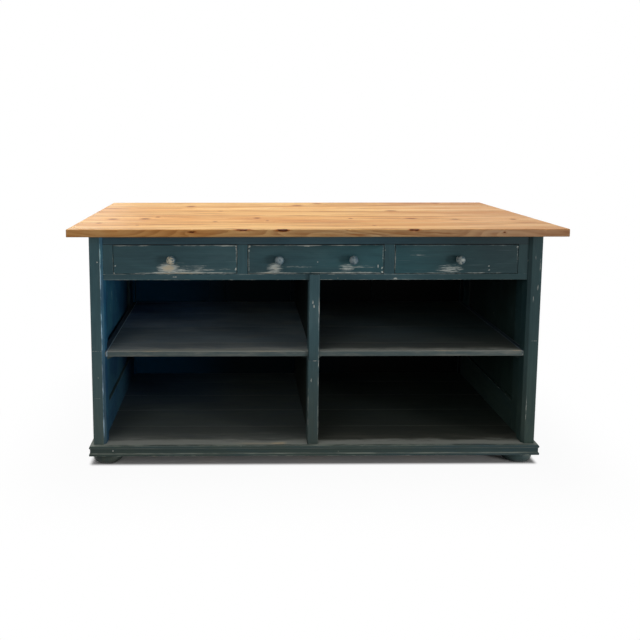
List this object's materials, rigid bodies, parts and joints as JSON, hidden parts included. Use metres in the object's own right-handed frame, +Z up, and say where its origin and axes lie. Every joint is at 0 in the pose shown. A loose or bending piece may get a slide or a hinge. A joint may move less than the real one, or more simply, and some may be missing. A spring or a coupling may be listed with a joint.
{
  "type": "kitchen island",
  "caption": "Painted pine kitchen island with a plank worktop over flush drawers and open shelved bays, on a moulded plinth with turned bun feet.",
  "frame": {"origin": "on the floor, under the middle of the worktop", "axes": "+Z up, +X to the right seen from the drawers' side, -Y out of the drawers' side"},
  "size_m": [1.77, 0.85, 0.9],
  "materials": {
    "waxed_pine": "waxed natural pine with knots, satin",
    "painted_pine": "dark slate blue-green paint on pine, worn through at edges and under the knobs",
    "bare_pine": "bare planed pine, unfinished",
    "screw_steel": "plain steel"
  },
  "bodies": {
    "cabinet": {"top_board_1": "waxed_pine", "top_board_2": "waxed_pine", "top_board_3": "waxed_pine", "top_board_4": "waxed_pine", "top_board_5": "waxed_pine", "top_screws": "screw_steel", "post_front_left": "painted_pine", "post_front_right": "painted_pine", "post_back_left": "painted_pine", "post_back_right": "painted_pine", "left_side_stiles": "painted_pine", "left_side_rails": "painted_pine", "left_side_panel": "painted_pine", "right_side_stiles": "painted_pine", "right_side_rails": "painted_pine", "right_side_panel": "painted_pine", "back_rails": "painted_pine", "back_muntins": "painted_pine", "back_panels": "painted_pine", "front_top_rail": "painted_pine", "drawer_rail": "painted_pine", "front_uprights": "painted_pine", "kickers": "bare_pine", "drawer_runners": "bare_pine", "drawer_stops": "bare_pine", "divider_post": "painted_pine", "divider_head": "bare_pine", "divider_boards": "painted_pine", "left_shelf_boards": "painted_pine", "right_shelf_boards": "painted_pine", "shelf_end_strips": "painted_pine", "shelf_bearers": "painted_pine", "base_boards": "painted_pine", "base_battens": "bare_pine", "plinth_front": "painted_pine", "plinth_back": "painted_pine", "plinth_left": "painted_pine", "plinth_right": "painted_pine", "foot_front_left": "painted_pine", "foot_front_right": "painted_pine", "foot_back_left": "painted_pine", "foot_back_right": "painted_pine"},
    "left_drawer": {"left_drawer_front": "painted_pine", "left_drawer_sides": "bare_pine", "left_drawer_back": "bare_pine", "left_drawer_bottom": "bare_pine", "left_drawer_knob": "painted_pine", "left_drawer_screw": "screw_steel"},
    "middle_drawer": {"middle_drawer_front": "painted_pine", "middle_drawer_sides": "bare_pine", "middle_drawer_back": "bare_pine", "middle_drawer_bottom": "bare_pine", "middle_drawer_knobs": "painted_pine", "middle_drawer_screws": "screw_steel"},
    "right_drawer": {"right_drawer_front": "painted_pine", "right_drawer_sides": "bare_pine", "right_drawer_back": "bare_pine", "right_drawer_bottom": "bare_pine", "right_drawer_knob": "painted_pine", "right_drawer_screw": "screw_steel"}
  },
  "joints": [
    {"name": "left_drawer_slide", "type": "slide", "parent": "cabinet", "child": "left_drawer", "axis": [0, -1, 0], "range_m": [0, 0.46]},
    {"name": "middle_drawer_slide", "type": "slide", "parent": "cabinet", "child": "middle_drawer", "axis": [0, -1, 0], "range_m": [0, 0.46]},
    {"name": "right_drawer_slide", "type": "slide", "parent": "cabinet", "child": "right_drawer", "axis": [0, -1, 0], "range_m": [0, 0.46]}
  ]
}
